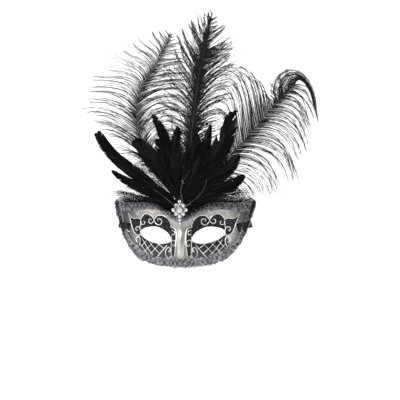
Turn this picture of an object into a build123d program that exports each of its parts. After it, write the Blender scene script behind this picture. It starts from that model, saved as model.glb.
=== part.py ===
from build123d import *
import math
import os

os.makedirs("parts", exist_ok=True)

# A venetian eye mask with a feather spray, in millimetres.
# Origin: the inside of the nose bridge at eye level, where the mask rests on the face.
# +X is the viewer's right, the front faces -Y, the wearer's head is on +Y, +Z is up.

# ---- driving dimensions ----
WRAP_RADIUS = 103.0        # plan radius of the wrap round the face
SHELL_THICK = 1.8
GRID_STEP = 4.0            # spacing of the points that the shell's surface passes through
GRID_HALF_X = 96.0
GRID_HALF_Z = 52.0

NOSE_TOP_Z = 18.0          # the nose ridge starts here and is fully raised at NOSE_LOW_Z
NOSE_LOW_Z = -32.0
NOSE_RISE = 13.0
NOSE_HALF_WIDTH = 14.0
BROW_RISE = 2.6
BROW_HALF_WIDTH = 6.0
BROW_LOW_Z = 12.0          # the brow ridge leaves the nose here and climbs by BROW_CLIMB
BROW_CLIMB = 19.0
BROW_CLIMB_X = 17.0
BROW_FADE_X = 70.0
SOCKET_DEPTH = 2.6
SOCKET_X = 33.0
SOCKET_HALF_X = 20.0
SOCKET_HALF_Z = 12.0
CHEEK_RISE = 3.0
CHEEK_X = 38.0
CHEEK_Z = -27.0
CHEEK_HALF_X = 18.0
CHEEK_HALF_Z = 11.0
EDGE_LEAN = 3.5            # how far the top and bottom edges lean back at EDGE_LEAN_Z from eye level
EDGE_LEAN_Z = 40.0

PANEL_THICK = 0.4
BRAID_THICK = 1.6
FELT_THICK = 1.2
FELT_PAD_Z = 26.0
FELT_PAD_WIDTH = 44.0
FELT_PAD_HEIGHT = 36.0
FELT_PAD_CORNER = 8.0

SLOT_X = 71.4
SLOT_Z = 7.6
SLOT_WIDTH = 5.0
SLOT_HEIGHT = 11.0

BROOCH_X = -1.0
BROOCH_Z = 30.0
BROOCH_BACK_Y = -6.3
BROOCH_PLATE = 1.6
CENTRE_STONE_R = 3.6
SMALL_STONE_R = 1.9
DROP_STONE_R = 1.5
SMALL_STONES = [(0, 11), (-4.6, 6.2), (4.6, 6.2), (-8, 0.2), (8, 0.2), (-4.8, -4.6), (4.8, -4.6), (0, -8)]
DROP_STONE = (0, -12.2)
GIRDLE_SHARE = 0.3         # a stone's heights and its table, as shares of its radius
CROWN_SHARE = 0.45
TABLE_SHARE = 0.55
CENTRE_RIM = 1.2           # how far the plate stands out round each stone
SMALL_RIM = 0.6
DROP_RIM = 0.5
LINK_R = 2.2               # discs that join the small stones' plates to the centre one
LINK_SHARE = 0.62
BOSS_R = 3.0               # the post behind the plate, which is glued to the braid
BOSS_Z = -9.0
BOSS_LENGTH = 12.0

FAN_Z = 42.0               # the quills meet at this height, above the notch of the top edge
BINDING_R = 14.0
BINDING_FRONT_Y = -6.0
BINDING_BACK_Y = 8.0
COQUE_THICK = 0.9
COQUE_BOW = 0.03           # share of a short feather's length that its middle bows outward
COQUE_FOOT_HALF = 1.1      # half width of its quill at the binding
COQUE_FOOT_HIDDEN = 0.5    # how far the quill reaches into the binding
COQUE_PROFILE = [(0.45, 0.8), (0.78, 1.0), (0.95, 0.6)]   # shares of its length and of its half width
COQUE_LAYER_Y = (-5.6, -4.4, -3.2)
SIDE_PLUME_Y = (-2.2, 1.6)
CENTRE_PLUME_Y = (1.8, 5.6)

RIBBON_WIDTH = 9.0
RIBBON_THICK = 0.6
RIBBON_SLOPE = 16.0        # degrees that the ribbon climbs towards the edge of the wing
HANK_TILT = 6.0            # degrees that the hank leans outward at its top
HANK_LEAN = -6.2           # degrees that the hank's top leans back, along the wing
HANK_CENTRE = (67.0, 46.2, 10.4)
HANK_LENGTH = 55.0
HANK_END_DEPTH = 20.0
HANK_MID_DEPTH = 7.0
TIE_THICK = 0.8
TIE_HEIGHT = 4.0
WAIST_MARGIN = 0.4
HANK_OPEN_SHARE = 0.45     # the hank is at its full depth beyond this share of its half length

SLAB_DEPTH = 140.0         # solids behind a front face, and the prisms that cut them, are this deep or deeper
PRISM_DEPTH = 200.0
START_Y = -100.0           # outlines are drawn on this plane, in front of everything

# ---- outlines, as seen from the front (x, z), right half ----
TOP_EDGE = [(0, 26.7), (12.7, 33), (24, 40), (34, 42.5), (46, 42), (61, 40.6), (71, 39.4), (78.7, 39.6),
            (89, 43.8)]
LOW_EDGE = [(89, 43.8), (90.8, 38), (88.3, 30.5), (83.8, 14.2), (78.5, 0), (72.9, -12.2), (67.6, -19.3),
            (60.2, -27.7), (53.3, -32.9), (44.5, -36.3), (30.5, -40), (15, -41.7), (0, -41.9)]
BRAID_INNER_TOP = [(0, 15.3), (8, 18.8), (16.9, 24.5), (27.2, 31), (35, 33), (46, 32.6), (60.3, 31.2),
                   (70, 30), (78.4, 30.6)]
BRAID_SPLIT = [(0, 5), (100, 46.5), (100, 60), (-100, 60), (-100, 46.5)]
BRAID_INNER_LOW = [(78.4, 30.6), (74.7, 17.1), (69.7, 3.6), (64.6, -7.5), (60.2, -13.3), (53.6, -20.8),
                   (48.7, -24.4), (41.7, -27.4), (29.3, -30.6), (14.6, -32.1), (0, -32.4)]
EYE = [(13.7, -8.3), (19.6, -10.4), (28, -11.3), (36.8, -9.7), (45.7, -5.7), (51.6, -1.3), (55, 1.5),
       (52.7, 4.8), (45.7, 7.9), (36.8, 9), (30.5, 8.3), (23.5, 5.2), (17.5, 0.9), (14.0, -4.2)]
# each panel is a loop of smooth edges that meet at cusps
BROW_PANEL = [
    [(13.5, 8.2), (13.2, 11.2), (14.7, 15.7), (17.8, 20), (22.8, 23), (27.1, 23.8), (31.5, 22.7),
     (35.6, 17.1)],
    [(35.6, 17.1), (36.3, 19.4), (39.2, 23), (43.4, 25.3), (48.3, 25.3), (52, 21.6), (54.2, 17.2)],
    [(54.2, 17.2), (53.2, 13), (54.2, 8.4), (51, 3)],
    [(51, 3), (36, 6), (20, 1), (13.4, -4), (12.4, 2), (13.5, 8.2)],
]
LEAF_PANEL = [
    [(54.8, 17.2), (58.2, 19.8), (63.3, 19.4), (67.4, 21), (72, 25.6)],
    [(72, 25.6), (69.2, 18.6), (67.2, 12.7), (65.6, 7.4), (61.7, 0.2), (57.8, -1.7), (55.4, -1.2)],
    [(55.4, -1.2), (55.2, 4), (55.8, 8.6), (54.3, 13), (54.8, 17.2)],
]
NOSE_PANEL = [
    [(12.9, 7.6), (10.7, 7.2), (7.4, 5.4), (6.3, 0.5), (6.3, -8), (6.7, -16), (7.6, -24), (8.4, -29.5)],
    [(8.4, -29.5), (12.2, -27)],
    [(12.2, -27), (12.5, -20), (12.7, -10), (12.0, -2), (12.9, 7.6)],
]
CHEEK_PANEL = [
    [(13.6, -10.2), (21.5, -11.6), (28.6, -12), (35.6, -10.6), (45.9, -6.8), (54.6, -1.8)],
    [(54.6, -1.8), (57.8, -7.4), (58.8, -12.6)],
    [(58.8, -12.6), (52.4, -20.4), (41.4, -26.4), (31, -29.4), (19, -30.8), (14.2, -30.6)],
    [(14.2, -30.6), (13.6, -20), (13.6, -10.2)],
]

# ---- feathers: outlines and tips (x, z) ----
LEFT_PLUME = [(-9, 50), (-44, 84), (-84, 112), (-117, 140), (-125, 168), (-108, 220), (-78, 244), (-42, 254),
              (-13, 252), (2, 226), (8, 190), (-6, 140), (-11, 90)]
CENTRE_PLUME = [(-2, 54), (-8, 100), (-11, 160), (-9, 220), (-3, 268), (14, 281), (34, 280), (56, 262),
                (67, 228), (66, 190), (46, 140), (20, 94), (4, 54)]
RIGHT_PLUME = [(11, 49), (30, 96), (42, 150), (52, 197), (76, 202), (104, 190), (122, 206), (140, 211),
               (158, 198), (170, 170), (175, 137), (162, 98), (147, 66), (122, 46), (98, 45), (56, 58)]
COQUE_LAYERS = [
    [(-88, 80, 6.5), (-57, 118, 7.0), (-2, 136, 7.0), (68, 151, 8.5), (81, 71, 6.5)],
    [(-106, 128, 7.5), (-36, 150, 7.0), (19, 119, 6.5), (56, 107, 7.0)],
    [(-80, 94, 7.0), (-27, 107, 6.5), (39, 138, 7.5), (88, 94, 7.0)],
]
TUFTS = {"left": (-46, 44, 22, 22.0), "centre": (-1, 53, 20, 0.0), "right": (48, 44, 24, -22.0)}
TUFT_DEPTH = 3.2
TUFT_HALF_HEIGHT = 9.0
TUFT_FOOT_Z = 38.0         # the side tufts stand in front of the shell at this height
TUFT_GAP = 5.2
TUFT_CENTRE_GAP = 0.2

# ---- the shell's surface ----


def smooth_step(t):
    """0 below 0, 1 above 1, and a half cosine between."""
    t = min(1.0, max(0.0, t))
    return 0.5 - 0.5 * math.cos(math.pi * t)


def relief(x, z):
    """How far the moulded face stands forward of the plain wrapped sheet."""
    side = abs(x)
    nose = NOSE_RISE * smooth_step((NOSE_TOP_Z - z) / (NOSE_TOP_Z - NOSE_LOW_Z))
    nose *= smooth_step(1 - side / NOSE_HALF_WIDTH)
    brow_z = BROW_LOW_Z + BROW_CLIMB * (1 - math.exp(-side / BROW_CLIMB_X))
    brow = BROW_RISE * math.exp(-(((z - brow_z) / BROW_HALF_WIDTH) ** 2))
    brow *= math.exp(-((side / BROW_FADE_X) ** 4))
    socket = SOCKET_DEPTH * math.exp(-(((side - SOCKET_X) / SOCKET_HALF_X) ** 2) - (z / SOCKET_HALF_Z) ** 2)
    cheek = CHEEK_RISE * math.exp(-(((side - CHEEK_X) / CHEEK_HALF_X) ** 2))
    cheek *= math.exp(-(((z - CHEEK_Z) / CHEEK_HALF_Z) ** 2))
    lean = EDGE_LEAN * (z / EDGE_LEAN_Z) ** 2
    return nose + brow + cheek - socket - lean


BASE_Y = relief(0, 0) - SHELL_THICK


def front_y(x, z):
    """The front face of the shell: a wrapped sheet with the moulded relief."""
    return BASE_Y + WRAP_RADIUS - math.sqrt(WRAP_RADIUS**2 - x * x) - relief(x, z)


def surface_point(x, z, inward):
    """A point of the front face, moved towards the axis of the wrap by inward (negative is outward)."""
    shrink = inward / WRAP_RADIUS
    return (x * (1 - shrink), front_y(x, z) + shrink * math.sqrt(WRAP_RADIUS**2 - x * x), z)


def block_behind(inward):
    """Everything behind the shell's front face, or behind that face moved inward."""
    xs = [i * GRID_STEP - GRID_HALF_X for i in range(int(2 * GRID_HALF_X / GRID_STEP) + 1)]
    zs = [i * GRID_STEP - GRID_HALF_Z for i in range(int(2 * GRID_HALF_Z / GRID_STEP) + 1)]
    rows = [[surface_point(x, z, inward) for z in zs] for x in xs]
    face = Face.make_surface_from_array_of_points(rows)
    return Solid.extrude(face, Vector(0, SLAB_DEPTH, 0))


def mirrored(points):
    return [(-x, z) for x, z in points]


def upright(points):
    return [Vector(x, START_Y, z) for x, z in points]


def spline_face(points):
    """A closed smooth outline as seen from the front."""
    return Face(Wire([Spline(*upright(points), periodic=True)]))


def cusped_face(sign, loop):
    """The inside of a loop of smooth edges."""
    edges = [Spline(*upright([(sign * x, z) for x, z in edge])) if len(edge) > 2
             else Line(*upright([(sign * x, z) for x, z in edge])) for edge in loop]
    return Face(Wire(edges))


def eye_face(sign):
    return spline_face([(sign * x, z) for x, z in EYE])


def straight_face(points):
    return Face(Wire(Polyline(*upright(points), close=True).edges()))


def two_edge_face(top_edge, low_edge):
    """The inside of a closed outline, from its right half: the edge to the tip and the edge below it."""
    edges = [Spline(*upright(top_edge)), Spline(*upright(low_edge))]
    edges += [Spline(*upright(mirrored(low_edge))), Spline(*upright(mirrored(top_edge)))]
    return Face(Wire(edges))


def prism(face):
    """A block with this outline as seen from the front, long enough to pass through the mask."""
    return extrude(face, amount=PRISM_DEPTH, dir=(0, 1, 0))


def slot_face(sign):
    """The ribbon's slot, which leans as the ribbon climbs."""
    slope = math.radians(RIBBON_SLOPE)
    corners = []
    for across, up in ((-1, -1), (1, -1), (1, 1), (-1, 1)):
        a, b = across * SLOT_WIDTH / 2, up * SLOT_HEIGHT / 2
        x = SLOT_X + a * math.cos(slope) - b * math.sin(slope)
        corners.append((sign * x, SLOT_Z + a * math.sin(slope) + b * math.cos(slope)))
    return straight_face(corners)


def write(shape, name):
    export_step(shape, "parts/" + name + ".step")


# ---- mask shell, panels, braid and felt ----


def make_shell(front, back, outline):
    holes = outline
    for sign in (1, -1):
        holes = holes - eye_face(sign) - slot_face(sign)
    write((front - back) & prism(holes), "mask_shell")


def make_panels(front):
    outlines = {"brow": BROW_PANEL, "leaf": LEAF_PANEL, "nose": NOSE_PANEL, "cheek": CHEEK_PANEL}
    skin = block_behind(-PANEL_THICK) - front
    for name, loop in outlines.items():
        for sign, side in ((1, "right"), (-1, "left")):
            write(skin & prism(cusped_face(sign, loop) - eye_face(sign)), side + "_" + name + "_panel")


def make_braid(front, braid_front, outline):
    """The lace tape round the edge, in two lengths that meet at the wing tips."""
    band = outline - two_edge_face(BRAID_INNER_TOP, BRAID_INNER_LOW) - slot_face(1) - slot_face(-1)
    split = straight_face(BRAID_SPLIT)
    skin = braid_front - front
    write(skin & prism(band & split), "upper_braid")
    write(skin & prism(band - split), "lower_braid")


def make_felt(back):
    """The pad glued inside the brow, which backs the notch that the feathers stand in."""
    spot = Plane((0, START_Y, FELT_PAD_Z), x_dir=(1, 0, 0), z_dir=(0, -1, 0))
    pad = spot * RectangleRounded(FELT_PAD_WIDTH, FELT_PAD_HEIGHT, FELT_PAD_CORNER)
    skin = back - back.moved(Location((0, FELT_THICK, 0)))
    write(skin & prism(pad), "felt_patch")


# ---- brooch ----


def stone(radius, x, z, back_y):
    """A round stone: a short girdle and a crown that tapers to its table."""
    base = (Align.CENTER, Align.CENTER, Align.MIN)
    girdle = Cylinder(radius, GIRDLE_SHARE * radius, align=base)
    crown = Cone(radius, TABLE_SHARE * radius, CROWN_SHARE * radius, align=base)
    gem = girdle + Pos(0, 0, GIRDLE_SHARE * radius) * crown
    return Pos(BROOCH_X + x, back_y, BROOCH_Z + z) * Rot(90, 0, 0) * gem


def plate_disc(radius, x, z, back_y, thick):
    disc = Cylinder(radius, thick, align=(Align.CENTER, Align.CENTER, Align.MIN))
    return Pos(BROOCH_X + x, back_y, BROOCH_Z + z) * Rot(90, 0, 0) * disc


def make_brooch(covered):
    drop_x, drop_z = DROP_STONE
    plate = plate_disc(CENTRE_STONE_R + CENTRE_RIM, 0, 0, BROOCH_BACK_Y, BROOCH_PLATE)
    for x, z in SMALL_STONES:
        plate = plate + plate_disc(SMALL_STONE_R + SMALL_RIM, x, z, BROOCH_BACK_Y, BROOCH_PLATE)
        plate = plate + plate_disc(LINK_R, LINK_SHARE * x, LINK_SHARE * z, BROOCH_BACK_Y, BROOCH_PLATE)
    plate = plate + plate_disc(DROP_STONE_R + DROP_RIM, drop_x, drop_z, BROOCH_BACK_Y, BROOCH_PLATE)
    boss = plate_disc(BOSS_R, 0, BOSS_Z, BROOCH_BACK_Y + BOSS_LENGTH, BOSS_LENGTH)
    write(plate + (boss - covered), "brooch_setting")
    face_y = BROOCH_BACK_Y - BROOCH_PLATE
    write(stone(CENTRE_STONE_R, 0, 0, face_y), "brooch_centre_stone")
    gems = [stone(SMALL_STONE_R, x, z, face_y) for x, z in SMALL_STONES]
    write(Compound(children=[gem.solids()[0] for gem in gems]), "brooch_small_stones")
    write(stone(DROP_STONE_R, drop_x, drop_z, face_y), "brooch_drop_stone")


# ---- feathers ----


def binding_disc():
    depth = BINDING_BACK_Y - BINDING_FRONT_Y
    disc = Cylinder(BINDING_R, depth, align=(Align.CENTER, Align.CENTER, Align.MIN))
    return Pos(0, BINDING_BACK_Y, FAN_Z) * Rot(90, 0, 0) * disc


def leaf(points, near_y, far_y):
    """A flat closed solid with this outline, between two depths, whose quill ends at the binding."""
    centre = Plane((0, START_Y, FAN_Z), x_dir=(1, 0, 0), z_dir=(0, -1, 0))
    face = spline_face(points) - centre * Circle(BINDING_R)
    return Pos(0, near_y - START_Y, 0) * extrude(face, amount=far_y - near_y, dir=(0, 1, 0))


def coque_outline(tip_x, tip_z, half_width):
    """A narrow vane from the binding out to its rounded tip, bowed a little."""
    length = math.hypot(tip_x, tip_z - FAN_Z)
    along = (tip_x / length, (tip_z - FAN_Z) / length)
    across = (along[1], -along[0])
    bow = COQUE_BOW * length * (1 if tip_x > 0 else -1)
    start = BINDING_R - COQUE_FOOT_HIDDEN

    def place(share, side):
        distance = start + share * (length - start)
        offset = side + bow * math.sin(math.pi * share)
        return (along[0] * distance + across[0] * offset, FAN_Z + along[1] * distance + across[1] * offset)

    profile = [(0.12, COQUE_FOOT_HALF)] + [(share, part * half_width) for share, part in COQUE_PROFILE]
    right = [place(share, half) for share, half in profile]
    left = [place(share, -half) for share, half in reversed(profile)]
    return [place(0, 0)] + right + [place(1, 0)] + left


def make_feathers():
    write(leaf(LEFT_PLUME, *SIDE_PLUME_Y), "left_plume")
    write(leaf(CENTRE_PLUME, *CENTRE_PLUME_Y), "centre_plume")
    write(leaf(RIGHT_PLUME, *SIDE_PLUME_Y), "right_plume")
    number = 0
    for layer_y, tips in zip(COQUE_LAYER_Y, COQUE_LAYERS):
        for tip_x, tip_z, half_width in tips:
            number += 1
            outline = coque_outline(tip_x, tip_z, half_width)
            write(leaf(outline, layer_y, layer_y + COQUE_THICK), "coque_feather_%02d" % number)


def make_tufts(covered):
    for side, (x, z, half_width, turn) in TUFTS.items():
        blob = scale(Sphere(1), by=(half_width, TUFT_DEPTH, TUFT_HALF_HEIGHT))
        near = front_y(x, TUFT_FOOT_Z) - TUFT_GAP
        if side == "centre":
            near = BINDING_FRONT_Y - TUFT_DEPTH - TUFT_CENTRE_GAP
        tuft = Pos(x, near, z) * Rot(0, 0, -turn) * blob
        write(tuft - covered, side + "_down_tuft")


def make_binding(outline, back):
    """The wrapped bundle of quills, which fills the notch of the top edge and rests on the felt."""
    write(binding_disc() - outline - back, "quill_binding")


# ---- ribbons ----


def wrap_place(radius, degrees):
    """A plan point at this distance from the axis of the wrap, as (x, y)."""
    turn = math.radians(degrees)
    return (radius * math.sin(turn), BASE_Y + WRAP_RADIUS - radius * math.cos(turn))


RIBBON_PLAN = [
    wrap_place(99.8, 38.0),
    wrap_place(99.8, 43.5),
    wrap_place(106.6, 44.6),
    wrap_place(106.6, 51.0),
    (86.9, 45.4),
    (87.0, 50.4),
    (82.6, 53.2),
    (72.4, 51.4),
]
RIBBON_RADII = [1.2, 1.4, 30.0, 4.0, 2.0, 3.0]


def make_ribbon(sign, side):
    slope = math.radians(RIBBON_SLOPE)
    centre_x, centre_z = SLOT_X, SLOT_Z
    tape_plane = Plane(origin=(sign * centre_x, 0, centre_z),
                       x_dir=(math.cos(slope), 0, sign * math.sin(slope)),
                       z_dir=(-sign * math.sin(slope), 0, math.cos(slope)))
    points = [(sign * (x - centre_x) / math.cos(slope), y) for x, y in RIBBON_PLAN]
    path = FilletPolyline(*points, radius=RIBBON_RADII)
    tape = trace(path, line_width=RIBBON_THICK)
    solid = extrude(tape_plane * tape, RIBBON_WIDTH / 2, both=True)
    print(side, "ribbon: length", round(path.length, 1), "fold radii", RIBBON_RADII)
    ratio = solid.volume / (path.length * RIBBON_WIDTH * RIBBON_THICK)
    print("  volume over section times length", round(ratio, 3))
    write(solid, side + "_ribbon")


def make_hank(sign, side):
    """The put-away length of the ribbon, folded to and fro and pinched by a tie."""
    half, end, mid = HANK_LENGTH / 2, HANK_END_DEPTH / 2, HANK_MID_DEPTH / 2
    waist = TIE_HEIGHT / 2 + WAIST_MARGIN
    open_at = HANK_OPEN_SHARE * half
    right = [(end, half), (end, open_at), (mid, waist), (mid, -waist), (end, -open_at), (end, -half)]
    left = [(-y, z) for y, z in reversed(right)]
    profile = Polyline(*right, *left, close=True)
    body = extrude(Plane.YZ * make_face(profile), RIBBON_WIDTH / 2, both=True)
    outer = Box(RIBBON_WIDTH + 2 * TIE_THICK, HANK_MID_DEPTH + 2 * TIE_THICK, TIE_HEIGHT)
    tie = outer - Box(RIBBON_WIDTH, HANK_MID_DEPTH, TIE_HEIGHT)
    x, y, z = HANK_CENTRE
    place = Pos(sign * x, y, z) * Rot(0, sign * HANK_TILT, 0) * Rot(HANK_LEAN, 0, 0)
    write(place * body, side + "_ribbon_hank")
    write(place * tie, side + "_hank_tie")


def main():
    outline = two_edge_face(TOP_EDGE, LOW_EDGE)
    front = block_behind(0)
    back = block_behind(SHELL_THICK)
    braid_front = block_behind(-BRAID_THICK)
    make_shell(front, back, outline)
    make_panels(front)
    make_braid(front, braid_front, outline)
    make_felt(back)
    covered = braid_front & prism(outline)
    make_brooch(covered)
    make_feathers()
    make_tufts(covered)
    make_binding(prism(outline), back)
    for sign, side in ((1, "right"), (-1, "left")):
        make_ribbon(sign, side)
        make_hank(sign, side)


main()
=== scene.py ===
import math
import random

import bpy
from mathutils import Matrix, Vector
from mathutils.bvhtree import BVHTree


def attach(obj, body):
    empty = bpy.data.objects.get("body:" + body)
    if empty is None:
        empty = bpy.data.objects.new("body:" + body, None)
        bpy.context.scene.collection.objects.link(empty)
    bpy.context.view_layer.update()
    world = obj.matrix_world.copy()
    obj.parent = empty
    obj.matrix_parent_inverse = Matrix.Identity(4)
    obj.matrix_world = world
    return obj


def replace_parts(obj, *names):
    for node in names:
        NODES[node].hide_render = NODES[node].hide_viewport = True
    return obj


# A venetian eye mask with a feather spray. Lengths below are in millimetres, in the CAD's frame.
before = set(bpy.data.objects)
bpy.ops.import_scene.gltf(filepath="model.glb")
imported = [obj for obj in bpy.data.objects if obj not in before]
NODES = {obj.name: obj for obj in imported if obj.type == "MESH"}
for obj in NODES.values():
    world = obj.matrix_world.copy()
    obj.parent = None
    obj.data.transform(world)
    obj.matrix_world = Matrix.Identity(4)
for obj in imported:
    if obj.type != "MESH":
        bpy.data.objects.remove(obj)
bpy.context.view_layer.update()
MM = 0.001
UP = Vector((0, 0, 1))
SIDES = ((1, "right"), (-1, "left"))


# ------------ curves and mesh building


def lerp(a, b, t):
    return a + (b - a) * t


def smooth_points(points, count):
    """A Catmull-Rom curve through the points, at evenly spaced shares of its length."""
    pts = [Vector(p) for p in points]
    pts = [2 * pts[0] - pts[1]] + pts + [2 * pts[-1] - pts[-2]]
    dense = []
    for i in range(1, len(pts) - 2):
        a, b, c, d = pts[i - 1:i + 3]
        for k in range(12):
            t = k / 12
            dense.append(0.5 * (2 * b + (c - a) * t + (2 * a - 5 * b + 4 * c - d) * t * t
                                + (3 * b - a - 3 * c + d) * t ** 3))
    dense.append(pts[-2])
    return even_points(dense, count)


def even_points(dense, count):
    """The same line with its points evenly spaced."""
    sums = [0.0]
    for a, b in zip(dense, dense[1:]):
        sums.append(sums[-1] + (b - a).length)
    out, k = [], 0
    for i in range(count):
        want = sums[-1] * i / (count - 1)
        while k < len(sums) - 2 and sums[k + 1] < want:
            k += 1
        gap = sums[k + 1] - sums[k]
        out.append(dense[k].lerp(dense[k + 1], (want - sums[k]) / gap if gap else 0))
    return out


def length_of(line):
    return sum((b - a).length for a, b in zip(line, line[1:]))


def part_way(line, share):
    """The point at this share of a line, and the line's direction there."""
    at = share * (len(line) - 1.001)
    i = int(at)
    return line[i].lerp(line[i + 1], at - i), (line[i + 1] - line[i]).normalized()


def ahead_at(line, i, reach=1):
    """The line's direction near point i, from its neighbours this many steps away."""
    return line[min(i + reach, len(line) - 1)] - line[max(i - reach, 0)]


def around(count, sides, shift=0.0):
    """The cosine and sine at so many steps round a circle of so many sides."""
    angles = [shift + 2 * math.pi * k / sides for k in range(count)]
    return [(math.cos(a), math.sin(a)) for a in angles]


def along(keys, share):
    """Reads a list of (share, values...) at this share, in straight steps."""
    for low, high in zip(keys, keys[1:]):
        if share <= high[0]:
            t = (share - low[0]) / (high[0] - low[0])
            return [lerp(a, b, t) for a, b in zip(low[1:], high[1:])]
    return list(keys[-1][1:])


def add_object(name, data):
    ob = bpy.data.objects.new(name, data)
    bpy.context.scene.collection.objects.link(ob)
    return ob


class Bag:
    """Collects the closed shells of one mesh."""

    def __init__(self):
        self.verts = []
        self.faces = []
        self.slots = []

    def add(self, verts, faces, slot=0):
        first = len(self.verts)
        self.verts.extend(verts)
        self.faces.extend(tuple(first + i for i in face) for face in faces)
        self.slots.extend([slot] * len(faces))

    def loft(self, rings, slot=0):
        """A closed shell through rings of equal size, capped at both ends."""
        size = len(rings[0])
        verts = [v for ring in rings for v in ring]
        faces = [tuple(reversed(range(size)))]
        for r in range(len(rings) - 1):
            low = r * size
            for k in range(size):
                nxt = (k + 1) % size
                faces.append((low + k, low + nxt, low + size + nxt, low + size + k))
        last = (len(rings) - 1) * size
        faces.append(tuple(last + k for k in range(size)))
        self.add(verts, faces, slot)

    def tube(self, points, radius, sides=3, slot=0, facing=Vector((0, -1, 0)), flat=1.0):
        """A tube round a line. radius is a number or takes the share; flat squashes it along facing."""
        rings = []
        corners = around(sides, sides)
        for i, p in enumerate(points):
            ahead = ahead_at(points, i)
            across = ahead.cross(facing)
            if across.length < 1e-9:
                across = ahead.cross(Vector((1, 0, 0.3)))
            across.normalize()
            out = across.cross(ahead).normalized()
            r = radius(i / (len(points) - 1)) if callable(radius) else radius
            rings.append([p + across * (r * c) + out * (r * flat * s) for c, s in corners])
        self.loft(rings, slot)

    def spike(self, base, tip, radius, slot=0):
        """A thin closed thorn: a triangle at the base and a point at the tip."""
        ahead = tip - base
        across = ahead.cross(Vector((0, -1, 0.1))).normalized() * radius
        up = across.cross(ahead).normalized() * radius
        ring = [base + across, base - 0.5 * across + 0.87 * up, base - 0.5 * across - 0.87 * up, tip]
        self.add(ring, ((0, 2, 1), (0, 1, 3), (1, 2, 3), (2, 0, 3)), slot)

    def piece(self, name, materials, slot_name, smooth=True):
        mesh = bpy.data.meshes.new(name)
        mesh.from_pydata([tuple(v * MM) for v in self.verts], [], self.faces)
        for m in materials:
            mesh.materials.append(m)
        if len(materials) > 1:
            mesh.polygons.foreach_set("material_index", self.slots)
        mesh.polygons.foreach_set("use_smooth", [smooth] * len(self.faces))
        mesh.update()
        ob = add_object(name, mesh)
        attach(ob, "root")
        return ob


# ------------ the shell's surface


SHELL_MESH = NODES["mask_shell"].data
SHELL = BVHTree.FromPolygons([v.co / MM for v in SHELL_MESH.vertices],
                             [tuple(p.vertices) for p in SHELL_MESH.polygons])
FAR_IN_FRONT = -200        # y from which the shell is looked at
WRAP_RADIUS = 100          # of the arc that stands in for the shell beyond its edge


def on_shell(x, z):
    """The point of the shell's front face seen at (x, z) from the front, and its outward normal."""
    hit, normal, _, _ = SHELL.ray_cast(Vector((x, FAR_IN_FRONT, z)), Vector((0, 1, 0)))
    if hit is None:
        depth = 60 - 0.5 * math.sqrt(max(0, WRAP_RADIUS ** 2 - x * x))
        hit, normal, _, _ = SHELL.find_nearest(Vector((x, depth, z)))
        hit = Vector((x, hit.y, z))
    if normal.y > 0:
        normal = -normal
    return hit, normal


# ------------ materials


class Nodes:
    """A shorthand for building a material's node tree."""

    def __init__(self, name):
        self.mat = bpy.data.materials.new(name)
        self.mat.use_nodes = True
        self.tree = self.mat.node_tree
        self.shader = self.tree.nodes["Principled BSDF"]

    def put(self, socket, value):
        """Links an output to the socket, or sets the socket to a number or a colour."""
        if hasattr(value, "is_output"):
            self.link(value, socket)
        else:
            socket.default_value = (*value, 1) if hasattr(value, "__len__") else value

    def set(self, **values):
        names = {"color": "Base Color", "rough": "Roughness", "metal": "Metallic", "coat": "Coat Weight",
                 "coat_rough": "Coat Roughness", "sheen": "Sheen Weight", "sheen_rough": "Sheen Roughness",
                 "spec": "Specular IOR Level"}
        for key, value in values.items():
            self.put(self.shader.inputs[names[key]], value)
        return self

    def node(self, kind, **inputs):
        n = self.tree.nodes.new(kind)
        for key, value in inputs.items():
            n.inputs[key].default_value = value
        return n

    def link(self, a, b):
        self.tree.links.new(a, b)

    def place(self):
        """Object coordinates, in metres."""
        return self.node("ShaderNodeTexCoord").outputs["Object"]

    def xyz(self, vector):
        n = self.node("ShaderNodeSeparateXYZ")
        self.link(vector, n.inputs[0])
        return n.outputs

    def noise(self, scale, detail):
        n = self.node("ShaderNodeTexNoise", Scale=scale, Detail=detail, Roughness=0.6)
        self.link(self.place(), n.inputs["Vector"])
        return n.outputs["Fac"]

    def span(self, source, start, end, top=1.0):
        """From 0 where the source is at start to top where it is at end, and held beyond both."""
        n = self.node("ShaderNodeMapRange", **{"From Min": start, "From Max": end, "To Max": top})
        self.link(source, n.inputs["Value"])
        return n.outputs[0]

    def ramp(self, source, *stops):
        n = self.node("ShaderNodeValToRGB")
        while len(n.color_ramp.elements) < len(stops):
            n.color_ramp.elements.new(0.5)
        for element, (at, color) in zip(n.color_ramp.elements, stops):
            element.position = at
            element.color = (*color, 1) if hasattr(color, "__len__") else (color, color, color, 1)
        self.link(source, n.inputs["Fac"])
        return n.outputs["Color"]

    def mix(self, fac, a, b):
        n = self.node("ShaderNodeMix")
        n.data_type = "RGBA"
        for index, value in ((0, fac), (6, a), (7, b)):
            self.put(n.inputs[index], value)
        return n.outputs[2]

    def math(self, mode, a, b=0.0):
        n = self.node("ShaderNodeMath")
        n.operation = mode
        for socket, value in zip(n.inputs, (a, b)):
            self.put(socket, value)
        return n.outputs[0]

    def feed(self, name, source):
        self.link(source, self.shader.inputs[name])
        return self

    def vary(self, name, scale, detail, low, high):
        """Feeds a socket from noise, between two stops (position, value)."""
        return self.feed(name, self.ramp(self.noise(scale, detail), low, high))

    def bump(self, source, depth, strength):
        n = self.node("ShaderNodeBump", Strength=strength, Distance=depth)
        self.link(source, n.inputs["Height"])
        return self.feed("Normal", n.outputs["Normal"])


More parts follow.
